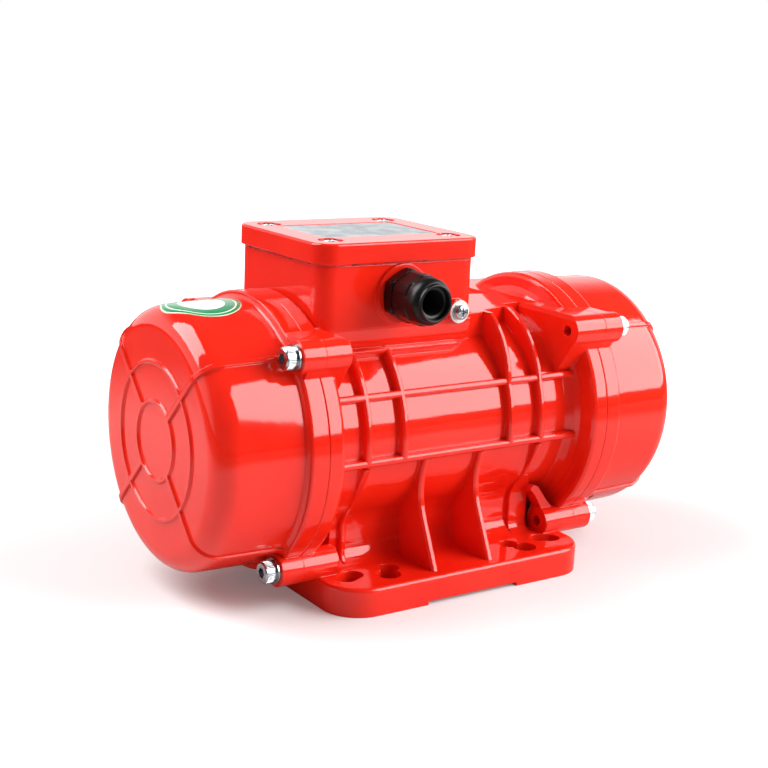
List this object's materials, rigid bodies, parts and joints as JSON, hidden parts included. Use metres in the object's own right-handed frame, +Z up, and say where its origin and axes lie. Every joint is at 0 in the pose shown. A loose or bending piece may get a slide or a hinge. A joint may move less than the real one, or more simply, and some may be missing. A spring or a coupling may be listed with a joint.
{
  "type": "vibration motor",
  "caption": "Electric vibration motor with a ribbed barrel on a drilled foot, domed end covers over eccentric weights, and a terminal box with a cable gland.",
  "frame": {"origin": "centre of the foot's bolt pattern, on the mounting plane under the foot", "axes": "+X along the shaft, towards the end away from the terminal box; +Z up, away from the mounting plane; the cable gland points to -Y"},
  "size_m": [0.296, 0.154, 0.1839],
  "materials": {
    "red_casting": "gloss",
    "zinc_steel": "satin",
    "black_steel": "satin",
    "machined_steel": "polished",
    "bearing_steel": "polished",
    "lamination_steel": "satin",
    "weight_iron": "matte",
    "shield_iron": "satin",
    "cast_aluminium": "satin",
    "plate_aluminium": "satin",
    "copper_winding": "gloss",
    "terminal_brass": "gloss",
    "black_nylon": "satin",
    "block_plastic": "matte",
    "lead_sleeve": "satin",
    "seal_rubber": "matte"
  },
  "bodies": {
    "housing": {"earth_screw": "zinc_steel", "earth_washer": "zinc_steel", "gland_body": "black_nylon", "gland_locknut": "black_nylon", "gland_nut": "black_nylon", "gland_seal": "seal_rubber", "gland_washer": "seal_rubber", "left_bearing_cap": "shield_iron", "left_bearing_cap_screws": "black_steel", "left_bearing_outer_ring": "bearing_steel", "left_bearing_shield": "shield_iron", "left_cover_screws": "zinc_steel", "left_cover_seal": "seal_rubber", "left_cover_washers": "zinc_steel", "left_end_cover": "red_casting", "left_shield_screws": "black_steel", "motor_body": "red_casting", "rating_plate": "plate_aluminium", "right_bearing_cap": "shield_iron", "right_bearing_cap_screws": "black_steel", "right_bearing_outer_ring": "bearing_steel", "right_bearing_shield": "shield_iron", "right_cover_screws": "zinc_steel", "right_cover_seal": "seal_rubber", "right_cover_washers": "zinc_steel", "right_end_cover": "red_casting", "right_shield_screws": "black_steel", "stator_core": "lamination_steel", "stator_winding": "copper_winding", "terminal_block": "block_plastic", "terminal_box_cover": "red_casting", "terminal_cover_gasket": "seal_rubber", "terminal_cover_screws": "zinc_steel", "terminal_nuts": "terminal_brass", "terminal_studs": "terminal_brass", "winding_leads": "lead_sleeve"},
    "rotor": {"rotor_shaft": "machined_steel", "rotor_core": "lamination_steel", "rotor_end_rings": "cast_aluminium", "left_bearing_inner_ring": "bearing_steel", "right_bearing_inner_ring": "bearing_steel", "left_shaft_key": "machined_steel", "right_shaft_key": "machined_steel", "left_fixed_weight": "weight_iron", "right_fixed_weight": "weight_iron", "left_fixed_weight_bolt": "black_steel", "right_fixed_weight_bolt": "black_steel", "left_shaft_circlip": "black_steel", "right_shaft_circlip": "black_steel"},
    "left_outer_weight": {"left_outer_weight": "weight_iron", "left_outer_weight_bolt": "black_steel"},
    "left_ball_set": {"left_bearing_balls": "bearing_steel", "left_bearing_cage": "terminal_brass"},
    "right_outer_weight": {"right_outer_weight": "weight_iron", "right_outer_weight_bolt": "black_steel"},
    "right_ball_set": {"right_bearing_balls": "bearing_steel", "right_bearing_cage": "terminal_brass"}
  },
  "joints": [
    {"name": "rotor_spin", "type": "hinge", "parent": "housing", "child": "rotor", "pos_m": [0, 0, 0.082], "axis": [1, 0, 0], "continuous": true},
    {"name": "left_ball_roll", "type": "hinge", "parent": "housing", "child": "left_ball_set", "pos_m": [-0.0785, 0, 0.082], "axis": [1, 0, 0], "continuous": true},
    {"name": "left_weight_setting", "type": "hinge", "parent": "rotor", "child": "left_outer_weight", "pos_m": [-0.118, 0, 0.082], "axis": [1, 0, 0], "range_deg": [0, 180]},
    {"name": "right_ball_roll", "type": "hinge", "parent": "housing", "child": "right_ball_set", "pos_m": [0.0785, 0, 0.082], "axis": [1, 0, 0], "continuous": true},
    {"name": "right_weight_setting", "type": "hinge", "parent": "rotor", "child": "right_outer_weight", "pos_m": [0.118, 0, 0.082], "axis": [1, 0, 0], "range_deg": [0, 180]}
  ],
  "couplings": [
    {"joint": "left_ball_roll", "follows": "rotor_spin", "ratio": 0.3686},
    {"joint": "right_ball_roll", "follows": "rotor_spin", "ratio": 0.3686}
  ]
}
